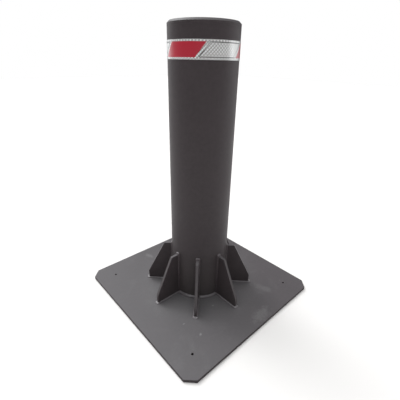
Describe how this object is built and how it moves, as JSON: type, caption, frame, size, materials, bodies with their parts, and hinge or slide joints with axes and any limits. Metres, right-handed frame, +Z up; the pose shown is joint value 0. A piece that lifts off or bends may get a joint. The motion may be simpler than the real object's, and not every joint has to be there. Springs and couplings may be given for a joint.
{
  "type": "fixed street bollard",
  "caption": "Round capped steel post on a square foot plate with radial gussets and a reflective band; anchored to paving, it keeps vehicles out.",
  "frame": {"origin": "centre of the foot plate's underside, on the post's axis", "axes": "+Z up along the post's axis; X and Y along the foot plate's sides"},
  "size_m": [0.66, 0.66, 0.962],
  "materials": {
    "painted_steel": "dark warm-grey powder coat, satin",
    "painted_weld": "weld bead under the same powder coat",
    "tape_clear": "white and silver prismatic reflective tape",
    "tape_red": "transparent red film on the reflective tape"
  },
  "bodies": {
    "root": {"base_plate": "painted_steel", "post_tube": "painted_steel", "top_cap": "painted_steel", "cap_weld": "painted_weld", "foot_weld": "painted_weld", "reflective_tape": "tape_clear", "red_film": "tape_red", "gusset_1": "painted_steel", "gusset_2": "painted_steel", "gusset_3": "painted_steel", "gusset_4": "painted_steel", "gusset_5": "painted_steel", "gusset_6": "painted_steel", "gusset_7": "painted_steel", "gusset_8": "painted_steel", "gusset_weld_1": "painted_weld", "gusset_weld_2": "painted_weld", "gusset_weld_3": "painted_weld", "gusset_weld_4": "painted_weld", "gusset_weld_5": "painted_weld", "gusset_weld_6": "painted_weld", "gusset_weld_7": "painted_weld", "gusset_weld_8": "painted_weld"}
  },
  "joints": []
}
